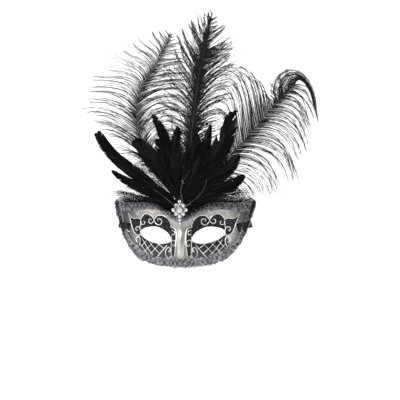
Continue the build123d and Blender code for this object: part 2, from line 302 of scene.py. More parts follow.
def silver_paint():
    """Hand-rubbed silver paint outside, with painted shade darkening it towards the wings, and the dark plastic
    of the shell inside.
    """
    m = Nodes("silver_paint").set(spec=0.5)
    mottled = m.ramp(m.noise(55, 5), (0.25, (0.22, 0.21, 0.2)), (0.75, (0.44, 0.43, 0.415)))
    fine = m.ramp(m.noise(900, 2), (0.3, (0.14, 0.135, 0.13)), (0.7, (0.8, 0.79, 0.77)))
    # painted shade: the silver is mixed towards dark grey further out on the wings, which turn away from the
    # light
    wing = m.span(m.math("ABSOLUTE", m.xyz(m.place())["X"]), 0.03, 0.078, 0.72)
    silver = m.mix(wing, m.mix(0.2, mottled, fine), (0.09, 0.088, 0.085))
    normal = m.node("ShaderNodeNewGeometry").outputs["True Normal"]
    inside = m.math("GREATER_THAN", m.xyz(normal)["Y"], 0.05)
    m.feed("Base Color", m.mix(inside, silver, (0.018, 0.018, 0.02)))
    m.feed("Metallic", m.math("MULTIPLY", m.math("SUBTRACT", 1.0, inside), 0.82))
    m.vary("Roughness", 160, 4, (0.3, 0.3), (0.7, 0.42))
    return m.bump(m.noise(420, 4), 0.0001, 0.4).mat


def black_enamel():
    """Near-black paint with fine glitter, worn to silver grey low on the cheeks."""
    m = Nodes("black_enamel").set(spec=0.15)
    cells = m.node("ShaderNodeTexVoronoi", Scale=1500)
    m.link(m.place(), cells.inputs["Vector"])
    glitter = m.node("ShaderNodeSeparateColor")
    m.link(cells.outputs["Color"], glitter.inputs[0])
    flake = m.math("GREATER_THAN", glitter.outputs[0], 0.95)
    tone = m.ramp(m.noise(120, 4), (0.3, (0.003, 0.003, 0.004)), (0.8, (0.011, 0.0105, 0.013)))
    place = m.xyz(m.place())
    cheek = m.math("GREATER_THAN", m.math("ABSOLUTE", place["X"]), 0.0136)
    worn = m.math("MULTIPLY", cheek, m.span(place["Z"], -0.014, -0.032))
    tone = m.mix(m.math("MULTIPLY", worn, 0.6), tone, (0.12, 0.115, 0.11))
    m.feed("Base Color", m.mix(m.math("MULTIPLY", flake, 0.4), tone, (0.3, 0.29, 0.34)))
    m.feed("Metallic", m.math("MAXIMUM", m.math("MULTIPLY", flake, 0.9), m.math("MULTIPLY", worn, 0.7)))
    m.vary("Roughness", 300, 3, (0.3, 0.34), (0.7, 0.52))
    return m.bump(m.noise(1400, 2), 0.0001, 0.5).mat


def silver_line():
    m = Nodes("silver_line").set(metal=0.9)
    m.vary("Base Color", 400, 3, (0.3, (0.62, 0.61, 0.6)), (0.7, (0.9, 0.9, 0.89)))
    m.vary("Roughness", 700, 2, (0.3, 0.22), (0.7, 0.38))
    return m.bump(m.noise(900, 3), 0.0001, 0.4).mat


def thread(name, color, rough, metal=0.0, spec=0.12):
    """One thread's or barb's colour, with an uneven gloss. Neighbours vary by taking different threads."""
    m = Nodes(name).set(color=color, metal=metal, spec=spec)
    return m.vary("Roughness", 350, 2, (0.3, rough - 0.1), (0.7, rough + 0.08)).mat


def felt():
    m = Nodes("felt").set(sheen=0.25, sheen_rough=0.6, spec=0.2)
    m.vary("Base Color", 900, 5, (0.3, (0.008, 0.008, 0.009)), (0.7, (0.03, 0.03, 0.032)))
    m.vary("Roughness", 500, 3, (0.3, 0.85), (0.7, 1.0))
    return m.bump(m.noise(1600, 4), 0.0003, 0.8).mat


def brooch_metal():
    m = Nodes("brooch_metal").set(metal=1.0)
    m.vary("Base Color", 500, 3, (0.3, (0.26, 0.26, 0.27)), (0.7, (0.6, 0.6, 0.61)))
    m.vary("Roughness", 600, 3, (0.3, 0.12), (0.7, 0.26))
    return m.bump(m.noise(700, 3), 0.00008, 0.4).mat


def clear_stone():
    """Foil-backed glass, clear with a bright silvery return from its facets."""
    m = Nodes("clear_stone").set(metal=0.55, coat=1.0, coat_rough=0.02, spec=0.9)
    m.vary("Base Color", 260, 2, (0.38, (0.42, 0.43, 0.47)), (0.6, (0.96, 0.96, 1.0)))
    return m.vary("Roughness", 300, 1, (0.4, 0.03), (0.6, 0.09)).mat


def quill_horn(name, dark, light):
    """The horn of a bare shaft."""
    m = Nodes(name).set(spec=0.25)
    m.vary("Base Color", 90, 3, (0.3, dark), (0.75, light))
    return m.vary("Roughness", 350, 2, (0.3, 0.3), (0.7, 0.48)).mat


def ribbon_satin():
    """Black satin with fine cross ribs."""
    m = Nodes("ribbon_satin").set(spec=0.2)
    m.vary("Base Color", 300, 3, (0.3, (0.003, 0.003, 0.004)), (0.7, (0.012, 0.012, 0.014)))
    wave = m.node("ShaderNodeTexWave", Scale=900.0, Distortion=0.4)
    m.link(m.place(), wave.inputs["Vector"])
    m.vary("Roughness", 600, 2, (0.3, 0.42), (0.7, 0.6))
    return m.bump(wave.outputs["Fac"], 0.0001, 0.5).mat


MAT = {
    "shell": silver_paint(),
    "enamel": black_enamel(),
    "line": silver_line(),
    "felt": felt(),
    "metal": brooch_metal(),
    "stone": clear_stone(),
    "shaft": quill_horn("feather_shaft", (0.006, 0.006, 0.007), (0.03, 0.03, 0.033)),
    "quill": quill_horn("pale_quill", (0.05, 0.05, 0.05), (0.2, 0.2, 0.195)),
    "ribbon": ribbon_satin(),
}

# Threads and hairs of several colours. A mix lists how often each is drawn.
LACE = [thread("lace_thread", (0.42, 0.42, 0.43), 0.42, 0.75),
        thread("lace_ground", (0.1, 0.1, 0.105), 0.5, 0.6),
        thread("lace_tinsel", (0.75, 0.75, 0.77), 0.36, 0.85),
        thread("lace_blue", (0.42, 0.45, 0.54), 0.38, 0.85),
        thread("lace_violet", (0.46, 0.43, 0.51), 0.38, 0.85)]
LACE_MIX = (0, 0, 0, 1, 1, 2, 2, 3, 4)
BARBS = [thread("ostrich_black", (0.005, 0.005, 0.006), 0.6),
         thread("ostrich_soft_black", (0.012, 0.012, 0.014), 0.62),
         thread("ostrich_smoke", (0.022, 0.022, 0.025), 0.66)]
BARB_MIX = (0, 0, 1)
VANES = [thread("coque_black", (0.0012, 0.0012, 0.0015), 0.5, 0.0, 0.03),
         thread("coque_sheen", (0.0022, 0.0022, 0.0028), 0.45, 0.0, 0.06)]
DOWN = [thread("down_black", (0.003, 0.003, 0.003), 0.7, 0.0, 0.08),
        thread("down_brown_black", (0.010, 0.0095, 0.0092), 0.7, 0.0, 0.08),
        thread("down_grey", (0.022, 0.0215, 0.021), 0.72, 0.0, 0.08)]
DOWN_MIX = (0, 0, 0, 1, 1, 2)


def dress(node, material):
    """Gives a CAD node its finished material."""
    materials = NODES[node].data.materials
    materials.clear()
    materials.append(material)


# ------------ raised silver lines

# Each stroke of the right half: its width, then its points (x, z).
STROKES = [
    (1.1, [(13.5, 8.2), (13.2, 11.2), (14.7, 15.7), (17.8, 20), (22.8, 23), (27.1, 23.8), (31.5, 22.7),
           (34.2, 19.6), (35.6, 17.1)]),
    (1.1, [(35.6, 17.1), (36.3, 19.4), (39.2, 23), (43.4, 25.3), (48.3, 25.3), (52, 21.6), (54.2, 17.2)]),
    (1.0, [(54.2, 17.2), (55.6, 19), (58.2, 20), (63.3, 19.4), (67.4, 21), (72.2, 26)]),
    (1.0, [(72.2, 26), (71, 23), (69.2, 18.6), (67.4, 12.7), (66, 8.2), (64.2, 3.7), (61.7, 0), (57.8, -1.9),
           (54.6, -1.5)]),
    (0.9, [(54.2, 17.2), (53.5, 14), (54.5, 10.4), (55.7, 8)]),
    (1.7, [(55.4, -0.6), (50.7, -3.6), (45.9, -6.9), (40.4, -9.2), (35.6, -10.9), (28.6, -12.2), (21.5, -11.9),
           (15.8, -10.6), (12.9, -9.6)]),
    (1.0, [(35.6, 17.1), (34.4, 15), (32.6, 12.5), (29.4, 11.2), (26.3, 12.7), (25.2, 15.7), (26.6, 18.6),
           (29.6, 19.2), (31, 17.4), (29.6, 15.8)]),
    (1.0, [(35.6, 17.1), (37.2, 14.6), (40, 13), (42.4, 14.5), (42.6, 17.5), (40.6, 18.9), (38.9, 17.5)]),
    (0.9, [(54.2, 17.2), (53.9, 13.8), (51.9, 11.6), (48.7, 12.5), (48.6, 15.6), (50.8, 16.2)]),
    (1.0, [(54.9, -1.2), (54.2, 3.7), (55.5, 7.6), (58.6, 8.8), (60.9, 6.7), (60, 3.9), (58.3, 4.2),
           (58.6, 5.8)]),
    (1.2, [(13.5, 8.2), (10.9, 7.7), (7.6, 5.7), (6.2, 1), (6.1, -8), (6.5, -16), (7.4, -24), (8.3, -30.6)]),
    (1.0, [(12.9, -9.6), (12.6, -15.7), (12.4, -21.6), (12.3, -27), (11.4, -31)]),
    (0.9, [(12.8, 4.6), (9.9, 4), (8.2, 1.8), (8.8, -0.8), (11, -1.4), (11.7, 0.6)]),
    (0.9, [(12.9, -9.6), (10.6, -8.2), (7.9, -9), (6.9, -11.8), (7.4, -14.9), (9.3, -15.9), (10.5, -14),
           (9.4, -12.6)]),
    (1.3, [(18, -14), (24.6, -21.8), (32.2, -30.4)]),
    (0.7, [(28.5, -13.2), (35, -20.4), (41.4, -27.2)]),
    (0.7, [(37.4, -11.6), (43.4, -18), (49.6, -24.2)]),
    (0.7, [(45.4, -8.2), (50, -13.4), (55, -19)]),
    (0.7, [(21.6, -19.2), (26.4, -15.8), (30.6, -12.6)]),
    (0.7, [(27, -26), (35, -18.6), (43, -9.4)]),
    (0.8, [(35, -29.2), (44, -18.4), (52.4, -5.8)]),
    (0.7, [(43.6, -26.4), (49.4, -19.4), (56, -11.6)]),
    (1.2, [(58.4, -18.4), (55.9, -15), (54.6, -9.7), (55.3, -5.2), (57.4, -3.5), (60.2, -5.6), (60.2, -8.9),
           (58, -11.2), (56.7, -9.4)]),
    (1.2, [(13.6, -30.2), (17.2, -30.8), (19.8, -27.6), (20.2, -23), (18.7, -18.8), (15.8, -17.5),
           (13.9, -19.8), (14.2, -22.6), (16, -23.2), (16.6, -21.4)]),
    (0.9, [(33.3, 31.3), (34.7, 29), (35.9, 26.2)]),
    (0.9, [(42.6, 30.4), (39.6, 28.4), (36.3, 25.4)]),
    (0.9, [(56.2, 30.8), (56.8, 28), (57, 25)]),
    (0.9, [(61, 27.8), (59.2, 25.4), (57, 22.8)]),
]
BLOBS = [(14.6, -21, 1.0), (13.7, -29.4, 1.1), (35.9, 16.2, 0.9), (12.9, -9.6, 1.0), (54.6, -1.4, 1.0)]
LINE_FOOT = 0.42           # a line stands this far out, on the enamel
LINE_SINK = 0.3            # and its back is this far inside the shell
LINE_STEP = 0.8            # spacing of the points along it


def bead(bag, points, width, sign):
    """A half-round line of thick paint laid on the shell, thin at both ends."""
    length = sum(math.dist(a, b) for a, b in zip(points, points[1:]))
    line = smooth_points([(x, z, 0) for x, z in points], max(8, int(length / LINE_STEP)))
    half_round = around(6, 10)
    rings = []
    for i, p in enumerate(line):
        share = i / (len(line) - 1)
        swell = 0.55 + 0.45 * math.sin(math.pi * (0.08 + 0.84 * share))
        ends = 0.4 + 0.6 * min(1, 6 * share, 6 * (1 - share))
        half = 0.5 * width * ends * (0.6 + 0.5 * swell)
        foot, normal = on_shell(sign * p.x, p.y)
        ahead = ahead_at(line, i)
        across = Vector((sign * ahead.x, 0, ahead.y)).cross(normal).normalized()
        ring = [foot + across * (half * c) + normal * (LINE_FOOT + half * s) for c, s in half_round]
        rings.append(ring + [foot - across * (half * k) - normal * LINE_SINK for k in (1, -1)])
    bag.loft(rings)


def blob(bag, x, z, radius, sign):
    """A drop of paint."""
    foot, normal = on_shell(sign * x, z)
    across = normal.cross(UP).normalized()
    up = across.cross(normal)
    rings = []
    for spread, rise in ((1, -0.24), (1, 0.336), (0.85, 0.64), (0.5, 0.88), (0.1, 0.96)):
        r = radius * spread
        top = foot + normal * (rise * radius)
        rings.append([top + across * (r * c) + up * (r * s) for c, s in around(12, 12)])
    bag.loft(rings)


def make_filigree():
    for sign, side in SIDES:
        bag = Bag()
        for width, points in STROKES:
            bead(bag, points, width, sign)
        for x, z, radius in BLOBS:
            blob(bag, x, z, radius, sign)
        bag.piece(side + "_filigree", [MAT["line"]], "silver_paint")


# ------------ lace braid

# The middle of the braid's right half (x, z).
BRAID_TOP = [(0, 21), (9.5, 25), (20.5, 31.6), (30, 36.4), (39, 37.8), (52, 36.8), (66, 35.2), (76, 34.8),
             (82.8, 38), (88.6, 43.2)]
BRAID_LOW = [(0, -37.2), (15, -36.9), (30, -35.3), (43, -31.8), (51, -28.7), (57, -24.2), (63.9, -16.3),
             (68.8, -9.8), (74.3, 1.6), (79.5, 15.8), (84.8, 31), (88.8, 42.6)]
BRAID_PITCH = 0.6          # spacing of the points along the braid
EDGE_OFFSET = 4.6          # from the braid's middle line to the outer edge, which stays put where it narrows
STRANDS = 6
PLAIT_TURN = 0.62          # radians that a strand turns in one pitch
LOOPS_PER_PITCH = 2.2
LOOPS_AT_TIPS = 150        # more of them, to hide the joint at the wing tips
# Share of the full width at each distance from the middle.
WIDTH_TOP = [(0, 1), (100, 1)]
WIDTH_LOW = [(0, 1), (60, 1), (70, 0.6), (80, 0.6), (88, 0.9), (100, 0.9)]


def braid_line(points):
    """The whole middle line, from wing to wing."""
    whole = [(-x, z, 0) for x, z in reversed(points) if x > 0] + [(x, z, 0) for x, z in points]
    return smooth_points(whole, int(length_of(smooth_points(whole, 200)) / BRAID_PITCH))


def braid_frames(line, widths):
    """For each point of the line: the point, the sideways direction seen from the front, and the width there."""
    out = []
    for i, p in enumerate(line):
        ahead = ahead_at(line, i, 2)
        out.append((p, Vector((-ahead.y, ahead.x, 0)).normalized(), along(widths, abs(p.x))[0]))
    return out


def on_braid(frames, at, offset, height):
    """A point over the shell, offset sideways from the braid's middle line and raised off the shell."""
    at = min(len(frames) - 1.001, max(0, at))
    i = int(at)
    p = frames[i][0].lerp(frames[i + 1][0], at - i)
    taper = min(1, 0.35 + min(at, len(frames) - 1 - at) * BRAID_PITCH / 14)
    side = frames[i][1].lerp(frames[i + 1][1], at - i) * taper
    width = lerp(frames[i][2], frames[i + 1][2], at - i)
    offset = offset * width - EDGE_OFFSET * (1 - width)
    foot, normal = on_shell(p.x + side.x * offset, p.y + side.y * offset)
    return foot + normal * height


def braid_ground(bag, frames):
    """The thin woven band under the threads."""
    rings = []
    offsets = (-5.4, -3.6, -1.8, 0, 1.8, 3.6, 5.4)
    for i in range(0, len(frames), 3):
        top = [on_braid(frames, i, o, 0.62) for o in offsets]
        low = [on_braid(frames, i, o, 0.02) for o in reversed(offsets)]
        rings.append(top + low)
    bag.loft(rings, 1)


def braid_strands(bag, frames):
    """Threads plaited over each other along the band."""
    for k in range(STRANDS):
        phase = 2 * math.pi * k / STRANDS
        line = []
        for i in range(len(frames)):
            turn = PLAIT_TURN * i + phase
            line.append(on_braid(frames, i, 4.4 * math.sin(0.5 * turn + phase), 0.95 + 0.38 * math.cos(turn)))
        bag.tube(line, 0.45, sides=5, slot=k % 2)


def curl(bag, frames, at, offset, size, rng):
    """One small loop of thread standing on the band."""
    start = rng.uniform(0, 2 * math.pi)
    sweep = rng.uniform(3.4, 6.0)
    tall = rng.uniform(0.5, 1.4)
    line = []
    for j in range(8):
        a = start + sweep * j / 7
        o = max(-7.0, min(7.0, offset + size * math.cos(a)))
        lift = 0.9 + tall * math.sin(math.pi * j / 7)
        line.append(on_braid(frames, at + size / BRAID_PITCH * math.sin(a), o, lift))
    bag.tube(line, lambda s: 0.3 - 0.1 * abs(2 * s - 1), sides=4, slot=rng.choice(LACE_MIX))


def braid_loops(bag, frames, rng):
    """Small curled loops all over the band, thicker along both edges, which make it fuzzy."""
    last = len(frames) - 1
    for n in range(int(LOOPS_PER_PITCH * len(frames))):
        edge = rng.random() < 0.55
        offset = rng.choice((-1, 1)) * rng.uniform(4.4, 6.2) if edge else rng.uniform(-4.6, 4.6)
        curl(bag, frames, rng.uniform(0, last), offset, rng.uniform(0.6, 1.3), rng)
    for n in range(LOOPS_AT_TIPS):
        near = abs(rng.gauss(0, 4.5))
        curl(bag, frames, near if n % 2 else last - near, rng.uniform(-6, 6), rng.uniform(0.7, 1.3), rng)


def make_braid():
    for name, points, widths, seed in (("upper_lace", BRAID_TOP, WIDTH_TOP, 11),
                                       ("lower_lace", BRAID_LOW, WIDTH_LOW, 12)):
        frames = braid_frames(braid_line(points), widths)
        bag = Bag()
        braid_ground(bag, frames)
        braid_strands(bag, frames)
        braid_loops(bag, frames, random.Random(seed))
        lace = bag.piece(name, LACE, "silver_braid")
        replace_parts(lace, name.replace("lace", "braid"))


# ------------ brooch

BROOCH_X = -1.0
BROOCH_Z = 30.0
BROOCH_FACE_Y = -7.9
RING_STONES = [(0, 11), (-4.6, 6.2), (4.6, 6.2), (-8, 0.2), (8, 0.2), (-4.8, -4.6), (4.8, -4.6), (0, -8)]
DROP_STONE = (0, -12.2)
CENTRE_RADIUS = 3.6
RING_RADIUS = 1.9
DROP_RADIUS = 1.5
# A stone's eight-sided levels from its back to its table: radius, height, and 1 if turned half a side.
BRILLIANT = [(0.7, 0.02, 0), (1.0, 0.22, 1), (1.0, 0.34, 1), (0.82, 0.56, 0), (0.5, 0.74, 1)]


def brilliant(bag, x, z, radius):
    """A faceted round stone: table, star and kite facets, and a girdle."""
    centre = Vector((BROOCH_X + x, BROOCH_FACE_Y, BROOCH_Z + z))
    verts, faces = [], [tuple(reversed(range(8)))]
    for r, rise, turned in BRILLIANT:
        corners = around(8, 8, turned * math.pi / 8)
        verts += [centre + radius * Vector((r * c, -rise, r * s)) for c, s in corners]
    for level, (this, above) in enumerate(zip(BRILLIANT, BRILLIANT[1:])):
        low, high = 8 * level, 8 * (level + 1)
        for k in range(8):
            nxt = (k + 1) % 8
            if this[2] == above[2]:
                faces.append((low + k, low + nxt, high + nxt, high + k))
            else:
                up = (k + this[2]) % 8
                faces.append((low + k, low + nxt, high + up))
                faces.append((low + nxt, high + (up + 1) % 8, high + up))
    faces.append(tuple(high + k for k in range(8)))
    bag.add(verts, faces)


def claw_cup(bag, x, z, radius, claws):
    """A rimmed cup with claws bent over the stone."""
    centre = Vector((BROOCH_X + x, BROOCH_FACE_Y, BROOCH_Z + z))
    rim = [centre + radius * Vector((1.1 * c, -0.12, 1.1 * s)) for c, s in around(25, 24)]
    bag.tube(rim, 0.16 * radius, sides=6)
    for c, s in around(claws, claws, math.pi / claws):
        line = [centre + radius * Vector((r * c, -y, r * s))
                for r, y in ((1.14, -0.1), (1.14, 0.25), (1.06, 0.5), (0.88, 0.68), (0.76, 0.72))]
        bag.tube(line, lambda t: radius * (0.13 + 0.03 * math.sin(math.pi * t)), sides=6)


def brooch_plate(bag):
    """Bars from the middle to each outer cup, with a grain of metal between each pair."""
    for x, z in RING_STONES:
        line = [Vector((BROOCH_X + s * x, BROOCH_FACE_Y + 0.5, BROOCH_Z + s * z)) for s in (0.2, 0.4, 0.6, 0.8)]
        bag.tube(line, 0.9, sides=8, flat=0.6)
    for c, s in around(8, 8, math.pi / 8):
        spot = Vector((BROOCH_X + 6.1 * c, BROOCH_FACE_Y - 0.3, BROOCH_Z + 1 + 7.2 * s))
        line = [spot + Vector((0, y, 0)) for y in (0.7, 0.2, -0.25, -0.5)]
        bag.tube(line, lambda t: 1.3 * math.sqrt(max(0.05, 1 - t * t)), sides=10, facing=Vector((1, 0, 0)))


def make_brooch():
    dress("brooch_setting", MAT["metal"])
    claws = Bag()
    brooch_plate(claws)
    claw_cup(claws, 0, 0, CENTRE_RADIUS, 8)
    small = Bag()
    for x, z in RING_STONES:
        claw_cup(claws, x, z, RING_RADIUS, 4)
        brilliant(small, x, z, RING_RADIUS)
    claw_cup(claws, *DROP_STONE, DROP_RADIUS, 4)
    claws.piece("brooch_claws", [MAT["metal"]], "brooch_metal")
    centre = Bag()
    brilliant(centre, 0, 0, CENTRE_RADIUS)
    drop = Bag()
    brilliant(drop, *DROP_STONE, DROP_RADIUS)
    for bag, name, node in ((small, "small_brilliants", "brooch_small_stones"),
                            (centre, "centre_brilliant", "brooch_centre_stone"),
                            (drop, "drop_brilliant", "brooch_drop_stone")):
        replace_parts(bag.piece(name, [MAT["stone"]], "clear_stone", smooth=False), node)


# ------------ ostrich plumes

# Each plume: its shaft (x, y, z), and on each side where the barbs' tips lie and how they point there, as
# (share of the shaft, x, z, heading x, heading z). turns is the barbs' degrees from the shaft on each side, and
# lift how long they keep to it.
PLUMES = {
    "left_plume": {
        "shaft": [(-3, -1, 40), (-14, -1, 60), (-30, 0, 84), (-43, 0, 104), (-54, 0, 128), (-57.5, 1, 151),
                  (-57, 1, 167), (-52, 1, 183), (-43, 1, 199), (-32, 0, 216), (-22, -1, 234), (-12.7, -2, 254)],
        "left": [(0.12, -46, 84, -0.6, -0.5), (0.24, -84, 110, -0.9, -0.35), (0.32, -113, 133, -1, -0.25),
                 (0.40, -124, 148, -1, -0.2), (0.50, -126, 168, -1, -0.1), (0.60, -122, 190, -0.95, 0),
                 (0.67, -109, 214, -0.8, 0.3), (0.73, -92, 236, -0.6, 0.6), (0.80, -70, 250, -0.4, 0.9),
                 (0.87, -48, 257, -0.2, 1), (0.94, -30, 259, 0, 1), (1.0, -14, 260, 0.2, 1)],
        "right": [(0.12, -8, 78, 0.6, -0.4), (0.24, -10, 112, 0.8, -0.4), (0.36, -2, 140, 0.9, -0.4),
                  (0.48, 6, 164, 0.9, -0.3), (0.60, 12, 186, 0.9, -0.2), (0.74, 10, 208, 0.8, 0),
                  (0.86, 2, 230, 0.7, 0.2), (0.95, -4, 247, 0.6, 0.5), (1.0, -10, 257, 0.3, 1)],
        "count": 250, "short": 50, "curls": 0, "seed": 21, "lift": 0.42, "turns": (38, 42), "thick": 1.1,
    },
    "centre_plume": {
        "shaft": [(1, 3, 40), (5, 3, 70), (11, 3, 107), (15, 3, 145), (18.5, 3, 173), (21, 3, 191),
                  (24.5, 3, 212), (29.5, 2, 235), (33.5, 1, 256), (36.5, 0, 268), (40, -1, 279)],
        "left": [(0.14, -12, 88, -0.7, 0.1), (0.28, -26, 128, -0.8, 0.2), (0.42, -28, 172, -0.7, 0.4),
                 (0.52, -18, 212, -0.5, 0.7), (0.60, -11, 241, -0.3, 0.9), (0.68, -4, 262, -0.2, 1),
                 (0.76, 8, 274, -0.1, 1), (0.84, 18, 279, 0, 1), (0.92, 28, 280, 0, 1), (1.0, 37, 281, 0.1, 1)],
        "right": [(0.14, 26, 84, 0.8, -0.3), (0.28, 46, 124, 0.9, -0.3), (0.42, 62, 168, 0.9, -0.1),
                  (0.52, 70, 202, 0.8, 0.1), (0.60, 72, 222, 0.7, 0.3), (0.68, 68, 240, 0.6, 0.5),
                  (0.76, 64, 250, 0.6, 0.6), (0.84, 58, 261, 0.5, 0.8), (0.92, 51, 270, 0.4, 0.9),
                  (1.0, 43, 279, 0.2, 1)],
        "count": 320, "short": 260, "curls": 0, "seed": 22, "lift": 0.42, "turns": (34, 34), "thick": 1.15,
    },
    "right_plume": {
        "shaft": [(5, 1, 38), (24, 1, 54), (47, 0, 74), (66, -1, 102), (82, -1, 120), (97, -2, 137),
                  (113, -2, 156), (128, -3, 175), (137, -4, 184), (144, -6, 190)],
        "left": [(0.16, 28, 92, -0.5, 0.8), (0.28, 42, 124, -0.6, 0.8), (0.40, 44, 164, -0.9, 0.3),
                 (0.50, 40, 194, -1, 0), (0.58, 44, 212, -1, -0.2), (0.66, 60, 216, -1, -0.2),
                 (0.72, 78, 208, -0.9, 0), (0.78, 100, 192, -0.7, 0.5), (0.84, 112, 180, -0.3, 1),
                 (0.90, 116, 196, 0, 1), (1.0, 140, 208, 0.6, 0.6)],
        "right": [(0.12, 58, 54, 0.5, -0.9), (0.22, 90, 44, 0.3, -1), (0.32, 116, 42, 0.1, -1),
                  (0.42, 132, 46, 0, -1), (0.52, 145, 60, 0.1, -1), (0.62, 155, 82, 0.1, -1),
                  (0.72, 161, 102, 0.2, -1), (0.82, 166, 122, 0.3, -1), (0.92, 171, 138, 0.3, -1),
                  (1.0, 171, 165, 0.3, -1)],
        "count": 230, "short": 0, "curls": 90, "seed": 23, "lift": 0.52, "turns": (50, 42), "thick": 1.2,
    },
}


BARBULE_PITCH = 1.5
BARBULE_LENGTH = 2.6


def barb_line(start, ahead, turn, tip, heading, lift, depth):
    """A barb that leaves the shaft turned this many degrees from it, and reaches its tip along this heading."""
    reach = (tip - start).length
    angle = math.radians(turn)
    out = Vector((ahead.x * math.cos(angle) + ahead.z * math.sin(angle), 0,
                  -ahead.x * math.sin(angle) + ahead.z * math.cos(angle))).normalized()
    c1 = start + out * (lift * reach)
    c2 = tip - heading.normalized() * (0.34 * reach)
    across = Vector((-out.z, 0, out.x))
    wave = 0.7 * (tip.x + tip.z)
    line = []
    for k in range(11):
        t = k / 10
        p = start * (1 - t) ** 3 + c1 * (3 * t * (1 - t) ** 2) + c2 * (3 * t * t * (1 - t)) + tip * t ** 3
        p += across * (0.012 * reach * t * math.sin(9 * t + wave))
        p.y = lerp(start.y, start.y + depth, t * t)
        line.append(p)
    return line


def barbules(bag, line, rng):
    """Soft side hairs along a barb, which lean towards its tip."""
    count = int(length_of(line) / BARBULE_PITCH)
    for n in range(count):
        share = (n + rng.random()) / count
        base, ahead = part_way(line, share)
        side = 1 if n % 2 else -1
        across = ahead.cross(Vector((0, 1, 0))) * side
        reach = BARBULE_LENGTH * rng.uniform(0.6, 1.2) * (1 - 0.5 * share)
        lean = rng.uniform(0.25, 0.75)
        tip = base + (ahead * 0.9 + across * lean + Vector((0, rng.uniform(-0.4, 0.4), 0))) * reach
        bag.spike(base, tip, 0.13, 1 + n % 2)


def barb(bag, line, thick, rng):
    bag.tube(line, lambda s: thick * lerp(0.36, 0.16, s), slot=rng.choice(BARB_MIX))
    barbules(bag, line, rng)


def vane_side(bag, shaft, plan, side, rng):
    """One side of a plume: its barbs cling together in loose locks."""
    keys = plan["left" if side < 0 else "right"]
    turn = side * plan["turns"][0 if side < 0 else 1]
    left_in_lock, pull, bend, centre = 0, Vector((0, 0, 0)), 0.0, 0.0
    for n in range(plan["count"]):
        share = min(1.0, max(0.1, 0.1 + 0.9 * (n + rng.uniform(-0.3, 0.3)) / plan["count"]))
        if left_in_lock == 0:
            left_in_lock = rng.randint(3, 7)
            centre = min(1.0, share + 0.45 * left_in_lock / plan["count"])
            pull = Vector((rng.gauss(0, 3.4), 0, rng.gauss(0, 3.4)))
            bend = max(-15, min(18, rng.gauss(2, 7)))
        left_in_lock -= 1
        start, ahead = part_way(shaft, share)
        first = (0.0, start.x, start.z, 0.0, 1.0)
        x, z, heading_x, heading_z = along([first] + keys, lerp(share, centre, 0.8))
        tip = start.lerp(Vector((x, 0, z)) + pull, rng.uniform(0.84, 1.0) - 0.14 * rng.random() ** 3)
        tip += Vector((rng.gauss(0, 0.8), 0, rng.gauss(0, 0.8)))
        heading = Vector((heading_x + rng.gauss(0, 0.12), 0, heading_z + rng.gauss(0, 0.12)))
        barb(bag, barb_line(start, ahead, turn, tip, heading, plan["lift"], bend + rng.gauss(0, 1.0)),
             plan["thick"], rng)


def short_barbs(bag, shaft, count, thick, rng):
    """The close fluff that makes the plume dark along its shaft."""
    for n in range(2 * count):
        side = 1 if n % 2 else -1
        start, ahead = part_way(shaft, lerp(0.12, 0.8, rng.random() ** 1.4))
        across = Vector((ahead.z, 0, -ahead.x)) * side
        reach = rng.uniform(16, 56)
        tip = start + (ahead * rng.uniform(0.5, 0.95) + across * rng.uniform(0.3, 1.1)) * reach
        heading = ahead + across * rng.uniform(-0.2, 1.2)
        barb(bag, barb_line(start, ahead, 34 * side, tip, heading, 0.35, rng.gauss(0, 5)), thick, rng)


# The curl at the end of the right plume: its outermost and innermost lock (x, z).
CURL_OUTER = [(118, 160), (111.5, 178), (116, 197), (132, 210.5), (151, 207), (164, 192), (171, 166)]
CURL_INNER = [(144, 190), (149, 195), (155, 195), (161, 188), (166, 176), (170, 158), (174.5, 137)]


def curled_tip(bag, count, thick, rng):
    """Locks that curl over the end of the shaft and hang down."""
    lock, u, y = 0, 0.0, 0.0
    for n in range(count):
        if lock == 0:
            lock, u, y = rng.randint(3, 6), 0.08 + 0.92 * rng.random() ** 0.9, rng.gauss(0, 3)
        lock -= 1
        v = min(1, max(0, u + rng.gauss(0, 0.05)))
        points = []
        for k, (outer, inner) in enumerate(zip(CURL_OUTER, CURL_INNER)):
            loose = 0.3 + 0.15 * k
            points.append((lerp(outer[0], inner[0], v) + rng.gauss(0, loose),
                           -3 + 0.2 * k * y + rng.gauss(0, 0.4),
                           lerp(outer[1], inner[1], v) + rng.gauss(0, loose)))
        barb(bag, smooth_points(points, 24)[:rng.randint(17, 24)], thick, rng)


def plume(name, plan):
    rng = random.Random(plan["seed"])
    shaft = smooth_points(plan["shaft"], 80)
    stem = Bag()
    stem.tube(shaft, lambda s: lerp(1.15, 0.24, s ** 0.8), sides=8)
    stem.piece(name + "_shaft", [MAT["shaft"]], "ostrich_feather")
    bag = Bag()
    vane_side(bag, shaft, plan, -1, rng)
    vane_side(bag, shaft, plan, 1, rng)
    short_barbs(bag, shaft, plan["short"], plan["thick"], rng)
    curled_tip(bag, plan["curls"], 0.95, rng)
    barbs = bag.piece(name + "_barbs", BARBS, "ostrich_feather", smooth=False)
    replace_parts(barbs, name)
    print("piece", name, "faces", len(bag.faces))


# ------------ coque feathers and down

# Each short feather: its tip (x, z), half width, bow to the right, depth at its tip, and how blunt it is.
COQUES = [
    (-88, 80, 6.5, -4, -7, 2), (-57, 119, 11, 3, -8, 3), (-3, 136, 8, -4, -9, 2), (66, 153, 13, 9, -9, 2.4),
    (81, 74, 9, 5, -6, 2), (-107, 128, 7.6, -9, -5, 6), (-36, 151, 8, 6, -6, 2), (21, 126, 9, 3, -10, 2),
    (50, 116, 13, 6, -7, 2), (-80, 98, 8, -3, -6, 3), (-27, 120, 12, 2, -10, 2), (38, 138, 8, 4, -6, 1.6),
    (74, 100, 9, 5, -4, 2),
]
FAN = Vector((0.0, -3.0, 38.0))    # where their quills meet
VANE_PITCH = 0.85


